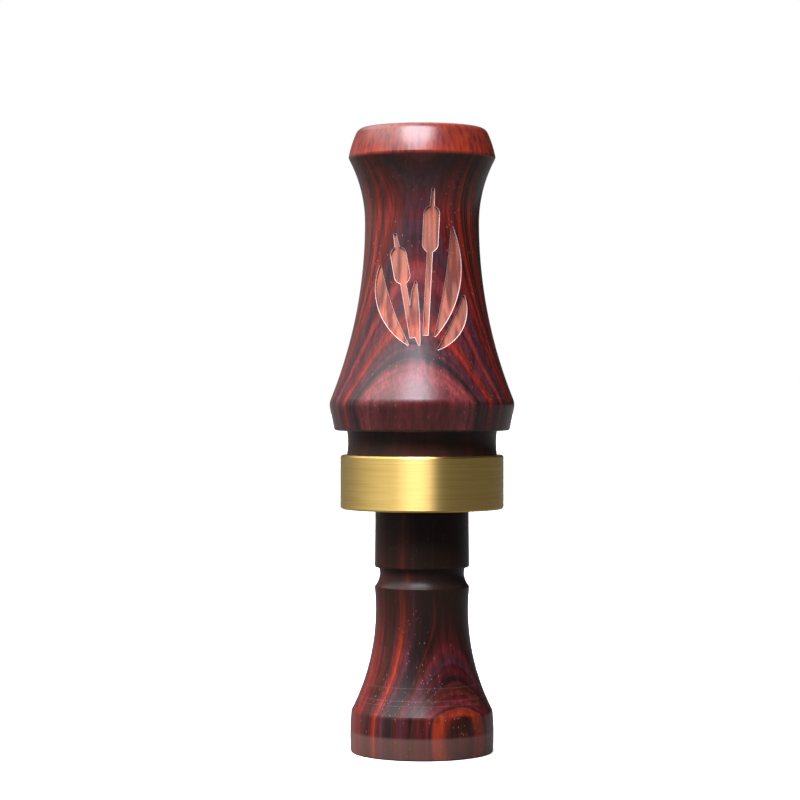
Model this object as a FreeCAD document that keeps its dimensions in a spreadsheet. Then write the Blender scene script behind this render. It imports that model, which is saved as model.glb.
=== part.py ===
"""A turned wooden duck call: barrel, brass band, insert, toneboard, seals, wedge and reed.

The call stands on the open bell of its insert.  The origin is the centre of that bell's rim,
+Z runs up the axis to the mouthpiece, and the toneboard faces -Y.  Lengths are millimetres.
"""

import FreeCAD
import Part
import Sketcher
import math
import os

# ---------------------------------------------------------------------------------------------
# Driving dimensions: name, size in millimetres (or degrees), what it measures
# ---------------------------------------------------------------------------------------------
DIMENSIONS = [
    # insert: the flared wooden stopper that the call stands on
    ("foot_radius", 15.2, "bell rim radius at the resting face"),
    ("rim_radius", 15.10, "bell rim radius at its top edge"),
    ("rim_height", 8.8, "height of the rim's top edge"),
    ("rim_arc", 48.0, "radius of the rim's slight outward bow"),
    ("bell_neck_radius", 9.88, "thinnest part of the bell"),
    ("bell_neck_height", 30.4, "height of the bell's thinnest part"),
    ("bell_arc", 47.4, "radius of the bell's hollow flare"),
    ("bell_top_height", 35.25, "lower edge of the insert's lanyard cove"),
    ("cove_arc", 4.2, "radius of the insert's lanyard cove"),
    ("cove_top_radius", 9.2, "cove radius under the shank's ledge"),
    ("shank_low_radius", 10.1, "shank radius above the cove"),
    ("shank_low_height", 39.35, "height of the shank's ledge"),
    ("shank_top_radius", 10.0, "shank radius under the band"),
    ("shoulder_height", 51.75, "insert's shoulder, where the barrel stops"),
    ("socket_floor", 39.5, "floor of the toneboard's socket"),
    ("airway_radius", 4.76, "exhaust bore, a 3/8 inch drill"),
    ("airway_flare_height", 24.0, "height where the exhaust bore starts to flare"),
    ("airway_mouth_radius", 10.6, "exhaust opening at the resting face"),
    # barrel: the wooden mouthpiece tube
    ("seat_gap", 0.05, "play between the barrel and the insert's shoulder"),
    ("bore_radius", 7.94, "barrel bore, a 5/8 inch drill"),
    ("tenon_radius", 16.05, "barrel radius under the band"),
    ("band_top", 63.3, "upper edge of the band"),
    ("groove_top", 68.5, "upper edge of the barrel's lanyard groove"),
    ("groove_arc", 16.0, "radius of the barrel's shallow lanyard groove"),
    ("belly_foot_radius", 18.7, "barrel radius above the lanyard groove"),
    ("belly_height", 74.3, "height of the barrel's widest edge"),
    ("neck_radius", 12.18, "thinnest part of the barrel"),
    ("neck_height", 112.8, "height of the barrel's thinnest part"),
    ("lower_arc", 100.5, "radius of the long hollow below the neck"),
    ("upper_arc", 28.7, "radius of the short hollow above the neck"),
    ("crease_height", 126.6, "height of the edge under the lip"),
    ("lip_arc", 24.0, "radius of the lip's outer face"),
    ("lip_corner_radius", 13.55, "lip radius at the top, before rounding"),
    ("lip_top", 132.95, "top of the lip"),
    ("mouth_radius", 10.2, "mouth opening at the top, before rounding"),
    ("mouth_floor", 117.0, "height where the bore starts to open out"),
    # band
    ("band_radius", 17.46, "brass band's outer radius"),
    ("band_chamfer", 0.35, "chamfer on the band's edges"),
    # toneboard: a 5/8 inch rod, glued into the insert, with the reed's bed cut into it
    ("rod_radius", 7.75, "toneboard rod radius"),
    ("rod_tip", 120.0, "height of the toneboard's tip"),
    ("bed_offset", 2.4, "bed's distance in front of the axis"),
    ("roof_offset", 6.3, "wedge slot's roof in front of the axis"),
    ("slot_rear", 66.0, "height of the wedge slot's closed end"),
    ("slot_front", 78.0, "height of the wedge slot's open end"),
    ("ledge_slant", 1.3, "how far the ledge over the slot slants back"),
    ("facing_foot", 79.0, "height where the facing leaves the bed"),
    ("facing_arc", 947.0, "radius of the facing"),
    ("facing_drop", 2.03, "how far the facing falls away at the tip"),
    ("tone_bore_radius", 3.0, "drilled tone bore"),
    ("tone_bore_offset", 1.6, "tone bore's distance behind the axis"),
    ("tone_bore_top", 82.0, "end of the tone bore"),
    ("channel_foot", 80.5, "lower end of the tone channel"),
    ("channel_top", 107.0, "upper end of the tone channel"),
    ("channel_top_radius", 2.4, "tone channel's radius at its upper end"),
    ("channel_top_offset", 1.2, "channel centre in front of the axis at its upper end"),
    ("tip_corner", 3.4, "rounding of the toneboard's tip corners"),
    ("relief_foot", 96.0, "height where the toneboard's back starts to thin"),
    ("relief_offset", 5.2, "toneboard's back at the tip, behind the axis"),
    ("seal_groove_radius", 6.1, "floor of the two O-ring grooves"),
    ("seal_groove_width", 2.4, "width of the O-ring grooves"),
    ("lower_seal_height", 55.6, "height of the lower O-ring"),
    ("upper_seal_height", 62.0, "height of the upper O-ring"),
    ("seal_ring_radius", 7.03, "O-ring radius to the middle of its section"),
    ("seal_section_radius", 0.89, "O-ring section radius"),
    # reed and wedge
    ("reed_width", 12.7, "reed width"),
    ("reed_thickness", 0.35, "reed thickness"),
    ("reed_foot", 66.2, "height of the reed's clamped end"),
    ("reed_tip", 118.6, "height of the reed's tip"),
    ("reed_corner", 3.2, "rounding of the reed's tip corners"),
    ("slip", 0.02, "running clearance round the reed and wedge"),
    ("wedge_width", 11.8, "wedge width"),
    ("wedge_trim_radius", 7.45, "wedge's top corners, trimmed to clear the bore"),
    ("wedge_foot", 66.3, "height of the wedge's inner end"),
    ("wedge_top", 77.8, "height of the wedge's outer end"),
    # engraving on the front of the neck
    ("engraving_depth", 0.4, "depth of the engraved rushes"),
    ("engraving_foot", 84.0, "lower limit of the engraved area"),
    ("engraving_top", 124.5, "upper limit of the engraved area"),
    ("stem_width", 1.15, "engraved stem width"),
    ("head_width", 3.3, "engraved seed head width"),
    ("tip_round", 0.42, "rounding of the engraved leaf ends"),
]

# The engraved rushes: foot (x, z), lean in degrees to the right, stem, head and spike lengths
RUSHES = {
    "tall_rush": ((0.6, 88.5), 3.0, 17.5, 9.6, 3.6),
    "short_rush": ((-2.1, 88.0), -9.5, 11.5, 7.8, 2.8),
}
# The engraved leaves: foot (x, z), lean in degrees to the right, length, width, bow to the right
LEAVES = {
    "right_leaf": ((2.6, 88.4), 9.0, 23.0, 2.8, 1.9),
    "left_leaf": ((-3.1, 86.6), -19.0, 17.5, 2.5, -1.9),
    "low_right_leaf": ((3.2, 85.6), 26.0, 12.5, 2.3, 1.4),
    "middle_leaf": ((-0.75, 86.6), -3.0, 13.0, 1.5, -0.55),
}


class Size:
    """A length that knows both its value and the spreadsheet formula that gives it."""

    def __init__(self, value, formula):
        self.value = value
        self.formula = formula

    @staticmethod
    def of(other):
        """Returns other as a Size, so that plain numbers mix with sheet dimensions."""
        return other if isinstance(other, Size) else Size(float(other), repr(float(other)))

    def _join(self, other, sign, value):
        return Size(value, f"({self.formula} {sign} {Size.of(other).formula})")

    def __add__(self, other):
        return self._join(other, "+", self.value + Size.of(other).value)

    def __sub__(self, other):
        return self._join(other, "-", self.value - Size.of(other).value)

    def __mul__(self, other):
        return self._join(other, "*", self.value * Size.of(other).value)

    def __neg__(self):
        return Size(-self.value, f"(0 - {self.formula})")

    def root(self):
        """Returns the square root."""
        return Size(math.sqrt(self.value), f"sqrt({self.formula})")


class Sheet:
    """The document's spreadsheet.  sheet.alias gives that dimension as a Size."""

    def __init__(self, document):
        self.table = document.addObject("Spreadsheet::Sheet", "dims")
        self.sizes = {}
        for row, (alias, value, meaning) in enumerate(DIMENSIONS, start=1):
            self.table.set(f"A{row}", meaning)
            self.table.set(f"B{row}", str(value))
            self.table.setAlias(f"B{row}", alias)
            self.sizes[alias] = Size(value, f"dims.{alias}")

    def __getattr__(self, alias):
        return self.sizes[alias]


def hollow_radius(waist, arc, waist_height, height):
    """Radius of a hollow turned with one arc, at a height above or below its waist."""
    rise = height - waist_height
    return waist + arc - (arc * arc - rise * rise).root()


# ---------------------------------------------------------------------------------------------
# Sketches: closed outlines whose corners and arcs are all bound to the sheet
# ---------------------------------------------------------------------------------------------
def arc_between(start, end, radius):
    """Circle arc from start to end.  A positive radius turns left on the way, a negative one right.

    Returns the arc and whether it runs from start to end (True) or from end to start."""
    chord = end - start
    half = chord.Length / 2
    reach = math.sqrt(radius * radius - half * half)
    left = FreeCAD.Vector(-chord.y, chord.x, 0).normalize()
    turns_left = radius > 0
    centre = (start + end) * 0.5 + left * (reach if turns_left else -reach)
    first, last = (start, end) if turns_left else (end, start)
    angles = [math.atan2(p.y - centre.y, p.x - centre.x) for p in (first, last)]
    if angles[1] < angles[0]:
        angles[1] += 2 * math.pi
    circle = Part.Circle(centre, FreeCAD.Vector(0, 0, 1), abs(radius))
    return Part.ArcOfCircle(circle, *angles), turns_left


def draw_outline(sketch, corners):
    """Draws a closed outline.  corners holds (x, y) for a straight run to the next corner, or
    (x, y, radius) for an arc to it.  Every corner and radius is bound to the sheet."""
    points = [FreeCAD.Vector(Size.of(c[0]).value, Size.of(c[1]).value, 0) for c in corners]
    ends = []
    for index, corner in enumerate(corners):
        start, end = points[index], points[(index + 1) % len(points)]
        if len(corner) == 3:
            arc, forward = arc_between(start, end, Size.of(corner[2]).value)
            edge = sketch.addGeometry(arc, False)
            ends.append((edge, 1, 2) if forward else (edge, 2, 1))
            bind(sketch, Sketcher.Constraint("Radius", edge, arc.Radius), abs_size(corner[2]))
        else:
            edge = sketch.addGeometry(Part.LineSegment(start, end), False)
            ends.append((edge, 1, 2))
    for index, (edge, first, _) in enumerate(ends):
        before, _, last = ends[index - 1]
        sketch.addConstraint(Sketcher.Constraint("Coincident", before, last, edge, first))
        for kind, size in zip(("DistanceX", "DistanceY"), corners[index][:2]):
            pin(sketch, kind, edge, first, Size.of(size))


def abs_size(radius):
    """A radius without the sign that only says which way its arc turns."""
    size = Size.of(radius)
    return size if size.value > 0 else -size


def bind(sketch, constraint, size):
    """Adds a constraint and binds its value to the sheet."""
    index = sketch.addConstraint(constraint)
    sketch.setExpression(f"Constraints[{index}]", size.formula)


def pin(sketch, kind, edge, point, size):
    """Pins one coordinate of an edge's end, on the sketch's axis where it is zero."""
    if abs(size.value) < 1e-9:
        axis = -2 if kind == "DistanceX" else -1
        sketch.addConstraint(Sketcher.Constraint("PointOnObject", edge, point, axis))
        return
    bind(sketch, Sketcher.Constraint(kind, -1, 1, edge, point, size.value), size)


def origin_plane(body, role):
    """The body's own origin plane, such as XZ_Plane."""
    return next(f for f in body.Origin.OriginFeatures if f.Role == role)


def body_sketch(body, name, role, offset=None):
    """A sketch on one of the body's origin planes, raised from it by a bound offset if given."""
    sketch = body.newObject("Sketcher::SketchObject", name)
    sketch.AttachmentSupport = (origin_plane(body, role), "")
    sketch.MapMode = "FlatFace"
    if offset is not None:
        sketch.AttachmentOffset = FreeCAD.Placement(
            FreeCAD.Vector(0, 0, offset.value), FreeCAD.Rotation()
        )
        sketch.setExpression("AttachmentOffset.Base.z", offset.formula)
    return sketch


# ---------------------------------------------------------------------------------------------
# PartDesign features
# ---------------------------------------------------------------------------------------------
def new_body(document, name):
    """A PartDesign body whose label is the sub-part's name."""
    body = document.addObject("PartDesign::Body", name)
    body.Label = name
    return body


def revolve(body, sketch, kind="Revolution"):
    """Turns a sketch on the XZ plane round the Z axis, adding or (kind Groove) cutting."""
    feature = body.newObject(f"PartDesign::{kind}", f"{sketch.Name}_{kind.lower()}")
    feature.Profile = sketch
    feature.ReferenceAxis = (sketch, ["V_Axis"])
    feature.Angle = 360.0
    body.Document.recompute()
    return feature


def pad(body, sketch, length):
    """Extrudes a sketch along its normal by a bound length."""
    feature = body.newObject("PartDesign::Pad", f"{sketch.Name}_pad")
    feature.Profile = sketch
    feature.Length = length.value
    feature.setExpression("Length", length.formula)
    body.Document.recompute()
    return feature


def cut_through(body, sketch):
    """Cuts a sketch through the whole body, both ways from its plane."""
    feature = body.newObject("PartDesign::Pocket", f"{sketch.Name}_cut")
    feature.Profile = sketch
    feature.Type = "ThroughAll"
    feature.SideType = "Symmetric"
    checked_cut(body, feature)
    return feature


def checked_cut(body, feature):
    """Recomputes and stops if a cut left the body's volume as it was."""
    before = feature.BaseFeature.Shape.Volume
    body.Document.recompute()
    if not feature.Shape.Volume < before - 1e-3:
        raise RuntimeError(f"{feature.Name} cuts nothing")


def round_edges(body, feature, rings, kind="Fillet", property_name="Radius"):
    """Rounds or chamfers turned edges.  rings holds (radius, height, amount) for each edge."""
    for number, (radius, height, amount) in enumerate(rings):
        names = [
            f"Edge{index}"
            for index, edge in enumerate(feature.Shape.Edges, start=1)
            if is_ring(edge, radius.value, height.value)
        ]
        if not names:
            raise RuntimeError(f"{body.Name} has no edge of radius {radius.value} at {height.value}")
        dressed = body.newObject(f"PartDesign::{kind}", f"{body.Name}_{kind.lower()}_{number}")
        dressed.Base = (feature, names)
        setattr(dressed, property_name, amount)
        body.Document.recompute()
        feature = dressed
    return feature


def is_ring(edge, radius, height):
    """Whether an edge is a circle round the Z axis with that radius and height."""
    curve = edge.Curve
    if not isinstance(curve, Part.Circle):
        return False
    off_axis = math.hypot(curve.Center.x, curve.Center.y)
    near = max(abs(curve.Radius - radius), abs(curve.Center.z - height), off_axis)
    return near < 1e-3


# ---------------------------------------------------------------------------------------------
# Sub-parts
# ---------------------------------------------------------------------------------------------
def make_insert(document, d):
    """The wooden stopper: bell, lanyard cove and shank, bored for air and for the toneboard."""
    body = new_body(document, "insert")
    sketch = body_sketch(body, "insert_profile", "XZ_Plane")
    bell_top_radius = hollow_radius(
        d.bell_neck_radius, d.bell_arc, d.bell_neck_height, d.bell_top_height
    )
    draw_outline(
        sketch,
        [
            (d.airway_mouth_radius, 0),
            (d.foot_radius, 0, d.rim_arc),
            (d.rim_radius, d.rim_height, -d.bell_arc),
            (bell_top_radius, d.bell_top_height, -d.cove_arc),
            (d.cove_top_radius, d.shank_low_height),
            (d.shank_low_radius, d.shank_low_height),
            (d.shank_top_radius, d.shoulder_height),
            (d.rod_radius, d.shoulder_height),
            (d.rod_radius, d.socket_floor),
            (d.airway_radius, d.socket_floor),
            (d.airway_radius, d.airway_flare_height, airway_arc(d)),
        ],
    )
    turned = revolve(body, sketch)
    round_edges(
        body,
        turned,
        [
            (d.rim_radius, d.rim_height, 1.6),
            (d.foot_radius, Size.of(0), 0.3),
            (d.airway_mouth_radius, Size.of(0), 0.8),
            (bell_top_radius, d.bell_top_height, 0.3),
            (d.shank_low_radius, d.shank_low_height, 0.35),
            (d.shank_top_radius, d.shoulder_height, 0.25),
        ],
    )
    return body


def airway_arc(d):
    """Radius of the exhaust's trumpet, tangent to the bore and ending at the resting face."""
    rise = d.airway_flare_height
    spread = d.airway_mouth_radius - d.airway_radius
    value = (rise.value**2 + spread.value**2) / (2 * spread.value)
    formula = f"(({rise.formula}^2 + {spread.formula}^2) / (2 * {spread.formula}))"
    return Size(value, formula)


def make_barrel_blank(document, d):
    """The turned and bored barrel, before it is engraved."""
    body = new_body(document, "barrel_blank")
    sketch = body_sketch(body, "barrel_profile", "XZ_Plane")
    foot = d.shoulder_height + d.seat_gap
    belly_radius = hollow_radius(d.neck_radius, d.lower_arc, d.neck_height, d.belly_height)
    crease_radius = hollow_radius(d.neck_radius, d.upper_arc, d.neck_height, d.crease_height)
    draw_outline(
        sketch,
        [
            (d.bore_radius, foot),
            (d.tenon_radius, foot),
            (d.tenon_radius, d.band_top, -d.groove_arc),
            (d.tenon_radius, d.groove_top),
            (d.belly_foot_radius, d.groove_top),
            (belly_radius, d.belly_height, -d.lower_arc),
            (d.neck_radius, d.neck_height, -d.upper_arc),
            (crease_radius, d.crease_height, d.lip_arc),
            (d.lip_corner_radius, d.lip_top),
            (d.mouth_radius, d.lip_top),
            (d.bore_radius, d.mouth_floor),
        ],
    )
    turned = revolve(body, sketch)
    round_edges(
        body,
        turned,
        [
            (belly_radius, d.belly_height, 3.4),
            (d.belly_foot_radius, d.groove_top, 0.6),
            (crease_radius, d.crease_height, 0.9),
            (d.lip_corner_radius, d.lip_top, 2.0),
            (d.mouth_radius, d.lip_top, 1.1),
        ],
    )
    return body


def engraving_skin(document, d):
    """A thin turned shell from the engraving's floor to just outside the neck."""
    body = new_body(document, "engraving_skin")
    sketch = body_sketch(body, "engraving_skin_profile", "XZ_Plane")
    outside = d.neck_radius + 1.0
    floor = d.neck_radius - d.engraving_depth

    def at(waist, arc, height):
        return hollow_radius(waist, arc, d.neck_height, height)

    deep_lower, deep_upper = d.lower_arc + d.engraving_depth, d.upper_arc + d.engraving_depth
    high_lower, high_upper = d.lower_arc - 1.0, d.upper_arc - 1.0
    draw_outline(
        sketch,
        [
            (at(floor, deep_lower, d.engraving_foot), d.engraving_foot),
            (at(outside, high_lower, d.engraving_foot), d.engraving_foot, -high_lower),
            (outside, d.neck_height, -high_upper),
            (at(outside, high_upper, d.engraving_top), d.engraving_top),
            (at(floor, deep_upper, d.engraving_top), d.engraving_top, deep_upper),
            (floor, d.neck_height, deep_lower),
        ],
    )
    revolve(body, sketch)
    return body


def standing_sketch(document, name, foot, lean):
    """A free sketch that stands on the XZ plane at foot (x, z), leaning to the right."""
    sketch = document.addObject("Sketcher::SketchObject", name)
    upright = FreeCAD.Rotation(FreeCAD.Vector(1, 0, 0), 90)
    leaning = FreeCAD.Rotation(FreeCAD.Vector(0, 0, 1), -lean)
    sketch.Placement = FreeCAD.Placement(
        FreeCAD.Vector(foot[0], 0, foot[1]), upright.multiply(leaning)
    )
    return sketch


def rush_sketch(document, d, name, foot, lean, stem, head, spike):
    """One rush: a stem, a long round-ended seed head and a pointed spike."""
    sketch = standing_sketch(document, name, foot, lean)
    half_stem, half_head = d.stem_width * 0.5, d.head_width * 0.5
    shoulder = 1.5
    low, high = Size.of(stem), Size.of(stem + head)
    turn = Size.of(2.0)
    right = [
        (half_stem, Size.of(0)),
        (half_stem, low, turn),
        (half_head, low + shoulder),
        (half_head, high - shoulder, turn),
        (half_stem * 0.8, high),
        (half_stem * 0.5, high + spike),
    ]
    left = [(-right[5][0], right[5][1]), (-right[4][0], right[4][1], turn)]
    left += [(-right[3][0], right[3][1]), (-right[2][0], right[2][1], turn)]
    left += [(-right[1][0], right[1][1]), (-right[0][0], right[0][1])]
    draw_outline(sketch, right + left)
    return sketch


def leaf_sketch(document, d, name, foot, lean, length, width, bow):
    """One blade leaf: two long arcs between a narrow rounded foot and a narrow rounded tip."""
    sketch = standing_sketch(document, name, foot, lean)
    end = d.tip_round * 0.5

    def side(sagitta):
        """Signed radius of an arc along the whole leaf with that much bow to the right."""
        return (sagitta**2 + (length / 2) ** 2) / (2 * sagitta)

    right, left = side(bow + width / 2), side(bow - width / 2)
    draw_outline(
        sketch,
        [
            (end, Size.of(0), right),
            (end, Size.of(length), d.tip_round * 0.501),
            (-end, Size.of(length), -left),
            (-end, Size.of(0), d.tip_round * 0.501),
        ],
    )
    return sketch


def make_barrel(document, d):
    """The barrel, with the rushes engraved to an even depth on the front of its neck."""
    blank = make_barrel_blank(document, d)
    skin = engraving_skin(document, d)
    sketches = [rush_sketch(document, d, name, *rush) for name, rush in RUSHES.items()]
    sketches += [leaf_sketch(document, d, name, *leaf) for name, leaf in LEAVES.items()]
    cutters = [document.addObject("Part::Extrusion", f"{s.Name}_cutter") for s in sketches]
    for cutter, sketch in zip(cutters, sketches):
        cutter.Base = sketch
        cutter.DirMode = "Normal"
        cutter.Solid = True
        cutter.setExpression("LengthFwd", "2 * dims.neck_radius")
    document.recompute()
    outline = document.addObject("Part::MultiFuse", "engraving_outline")
    outline.Shapes = cutters
    engraving = document.addObject("Part::Common", "engraving")
    engraving.Base = outline
    engraving.Tool = skin
    barrel = document.addObject("Part::Cut", "barrel")
    barrel.Base = blank
    barrel.Tool = engraving
    document.recompute()
    if not barrel.Shape.Volume < blank.Shape.Volume - 1:
        raise RuntimeError("the engraving cuts nothing")
    return barrel


def make_band(document, d):
    """The brass band pressed on the barrel's tenon."""
    body = new_body(document, "band")
    foot = d.shoulder_height + d.seat_gap
    sketch = body_sketch(body, "band_rings", "XY_Plane", foot)
    for radius in (d.tenon_radius, d.band_radius):
        circle = Part.Circle(FreeCAD.Vector(), FreeCAD.Vector(0, 0, 1), radius.value)
        ring = sketch.addGeometry(circle, False)
        sketch.addConstraint(Sketcher.Constraint("Coincident", ring, 3, -1, 1))
        bind(sketch, Sketcher.Constraint("Radius", ring, radius.value), radius)
    ring = pad(body, sketch, d.band_top - foot)
    round_edges(
        body,
        ring,
        [
            (d.band_radius, foot, d.band_chamfer.value),
            (d.band_radius, d.band_top, d.band_chamfer.value),
        ],
        kind="Chamfer",
        property_name="Size",
    )
    return body


def make_toneboard(document, d):
    """The acrylic rod: seal grooves, wedge slot, facing, tone channel and tone bore."""
    body = new_body(document, "toneboard")
    rod = body_sketch(body, "rod_profile", "XZ_Plane")
    draw_outline(
        rod,
        [
            (0, d.socket_floor),
            (d.rod_radius, d.socket_floor),
            (d.rod_radius, d.rod_tip),
            (0, d.rod_tip),
        ],
    )
    revolve(body, rod)
    for name, height in (("lower_groove", d.lower_seal_height), ("upper_groove", d.upper_seal_height)):
        groove = body_sketch(body, name, "XZ_Plane")
        low, high = height - d.seal_groove_width * 0.5, height + d.seal_groove_width * 0.5
        outside = d.rod_radius + 1
        draw_outline(
            groove,
            [(d.seal_groove_radius, low), (outside, low), (outside, high), (d.seal_groove_radius, high)],
        )
        revolve(body, groove, "Groove")
    cut_through(body, facing_sketch(body, d))
    cut_through(body, relief_sketch(body, d))
    cut_through(body, tip_sketch(body, d))
    bore_and_channel(body, d)
    return body


def facing_sketch(body, d):
    """Side view of all that is cut from the rod's front: wedge slot, ledge and facing."""
    sketch = body_sketch(body, "facing", "YZ_Plane")
    beyond = d.rod_radius + 1
    tip_offset = d.bed_offset - d.facing_drop
    draw_outline(
        sketch,
        [
            (-d.bed_offset, d.slot_rear),
            (-d.roof_offset, d.slot_rear),
            (-d.roof_offset, d.slot_front),
            (-beyond, d.slot_front - d.ledge_slant),
            (-beyond, d.rod_tip),
            (-tip_offset, d.rod_tip, d.facing_arc),
            (-d.bed_offset, d.facing_foot),
        ],
    )
    return sketch


def relief_sketch(body, d):
    """Side view of the taper along the back of the toneboard's free end."""
    sketch = body_sketch(body, "relief", "YZ_Plane")
    beyond = d.rod_radius + 1
    draw_outline(
        sketch,
        [
            (d.rod_radius, d.relief_foot),
            (beyond, d.relief_foot),
            (beyond, d.rod_tip),
            (d.relief_offset, d.rod_tip),
        ],
    )
    return sketch


def tip_sketch(body, d):
    """Front view of the two rounded corners at the toneboard's tip."""
    sketch = body_sketch(body, "tip_corners", "XZ_Plane")
    low, flat = d.rod_tip - d.tip_corner, d.rod_radius - d.tip_corner
    beyond, above = d.rod_radius + 1, d.rod_tip + 1
    draw_outline(
        sketch,
        [
            (d.rod_radius, low, d.tip_corner),
            (flat, d.rod_tip),
            (flat, above),
            (-flat, above),
            (-flat, d.rod_tip, d.tip_corner),
            (-d.rod_radius, low),
            (-beyond, low),
            (-beyond, above + 1),
            (beyond, above + 1),
            (beyond, low),
        ],
    )
    return sketch


def bore_and_channel(body, d):
    """The round tone bore from the insert, opening into the tapering tone channel."""
    bore = body_sketch(body, "tone_bore", "XY_Plane", d.socket_floor)
    circle = Part.Circle(
        FreeCAD.Vector(0, d.tone_bore_offset.value, 0),
        FreeCAD.Vector(0, 0, 1),
        d.tone_bore_radius.value,
    )
    ring = bore.addGeometry(circle, False)
    pin(bore, "DistanceX", ring, 3, Size.of(0))
    pin(bore, "DistanceY", ring, 3, d.tone_bore_offset)
    bind(bore, Sketcher.Constraint("Radius", ring, circle.Radius), d.tone_bore_radius)
    drilled = body.newObject("PartDesign::Pocket", "tone_bore_cut")
    drilled.Profile = bore
    drilled.Reversed = True
    drilled.setExpression("Length", (d.tone_bore_top - d.socket_floor).formula)
    checked_cut(body, drilled)

    def trough(name, height, radius, centre):
        sketch = body_sketch(body, name, "XY_Plane", height)
        front = -(d.rod_radius + 1)
        draw_outline(
            sketch,
            [(-radius, front), (radius, front), (radius, centre, radius * 1.0001), (-radius, centre)],
        )
        return sketch

    low = trough("channel_low", d.channel_foot, d.tone_bore_radius, d.tone_bore_offset)
    high = trough("channel_high", d.channel_top, d.channel_top_radius, -d.channel_top_offset)
    channel = body.newObject("PartDesign::SubtractiveLoft", "tone_channel")
    channel.Profile = low
    channel.Sections = [high]
    channel.Ruled = True
    checked_cut(body, channel)


def make_seal(document, d, name, height):
    """One O-ring, resting in its groove and just inside the bore."""
    ring = document.addObject("Part::Torus", name)
    ring.Label = name
    ring.setExpression("Radius1", d.seal_ring_radius.formula)
    ring.setExpression("Radius2", d.seal_section_radius.formula)
    ring.setExpression("Placement.Base.z", height.formula)
    document.recompute()
    return ring


def make_wedge(document, d):
    """The cork wedge that holds the reed down, trimmed at its top corners to clear the bore."""
    body = new_body(document, "wedge")
    sketch = body_sketch(body, "wedge_section", "XY_Plane", d.wedge_foot)
    half = d.wedge_width * 0.5
    low = -(d.bed_offset + d.slip * 2 + d.reed_thickness)
    high = -(d.roof_offset - d.slip)
    side = -(d.wedge_trim_radius * d.wedge_trim_radius - half * half).root()
    top = (d.wedge_trim_radius * d.wedge_trim_radius - high * high).root()
    draw_outline(
        sketch,
        [
            (-half, low),
            (-half, side, d.wedge_trim_radius),
            (-top, high),
            (top, high, d.wedge_trim_radius),
            (half, side),
            (half, low),
        ],
    )
    pad(body, sketch, d.wedge_top - d.wedge_foot)
    return body


def reed_sketch(body, name, d):
    """A reed outline's sketch, on the face that lies on the bed."""
    return body_sketch(body, name, "XZ_Plane", d.bed_offset + d.slip)


def make_reed_butt(document, d):
    """The part of the reed that the wedge clamps."""
    body = new_body(document, "reed_butt")
    sketch = reed_sketch(body, "butt_outline", d)
    half = d.reed_width * 0.5
    foot, top = d.reed_foot, d.facing_foot
    draw_outline(sketch, [(-half, foot), (half, foot), (half, top), (-half, top)])
    pad(body, sketch, d.reed_thickness)
    return body


def make_reed_blade(document, d):
    """The part of the reed that vibrates, with its rounded tip."""
    body = new_body(document, "reed_blade")
    sketch = reed_sketch(body, "blade_outline", d)
    half, corner = d.reed_width * 0.5, d.reed_corner
    foot, shoulder = d.facing_foot + d.slip, d.reed_tip - corner
    draw_outline(
        sketch,
        [
            (-half, foot),
            (half, foot),
            (half, shoulder, corner),
            (half - corner, d.reed_tip),
            (-(half - corner), d.reed_tip, corner),
            (-half, shoulder),
        ],
    )
    pad(body, sketch, d.reed_thickness)
    return body


def check_document(document, parts):
    """Stops if any object failed to recompute or any sub-part has no valid shape."""
    for item in document.Objects:
        if {"Invalid", "Error"} & set(item.State):
            raise RuntimeError(f"{item.Label} failed: {item.State}")
    for part in parts:
        if part.Shape.isNull() or not part.Shape.isValid():
            raise RuntimeError(f"{part.Label} has no valid shape")


def main():
    """Builds the document, checks it and writes one STEP file for each sub-part."""
    document = FreeCAD.newDocument("duck_call")
    dims = Sheet(document)
    document.recompute()
    parts = [
        make_insert(document, dims),
        make_barrel(document, dims),
        make_band(document, dims),
        make_toneboard(document, dims),
        make_seal(document, dims, "o_ring_lower", dims.lower_seal_height),
        make_seal(document, dims, "o_ring_upper", dims.upper_seal_height),
        make_wedge(document, dims),
        make_reed_butt(document, dims),
        make_reed_blade(document, dims),
    ]
    document.recompute()
    check_document(document, parts)
    os.makedirs("parts", exist_ok=True)
    for part in parts:
        part.Shape.exportStep(f"parts/{part.Label}.step")
        print(f"{part.Label}: {part.Shape.Volume:.1f} mm3, {len(part.Shape.Solids)} solid")


main()
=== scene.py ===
"""A turned cocobolo duck call with a brass band, dressed and lit for a plain studio view.

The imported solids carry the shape.  This script gives each its real finish, builds the cork
wedge and the film reed in detail, and sets up the studio.  Lengths are metres unless a name
says otherwise; the call stands on its bell at the origin and its front faces -Y.
"""

import logging
import math
from dataclasses import dataclass, field
from enum import Enum
from typing import Any, Optional

import bmesh
import bpy
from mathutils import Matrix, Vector, noise

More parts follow.
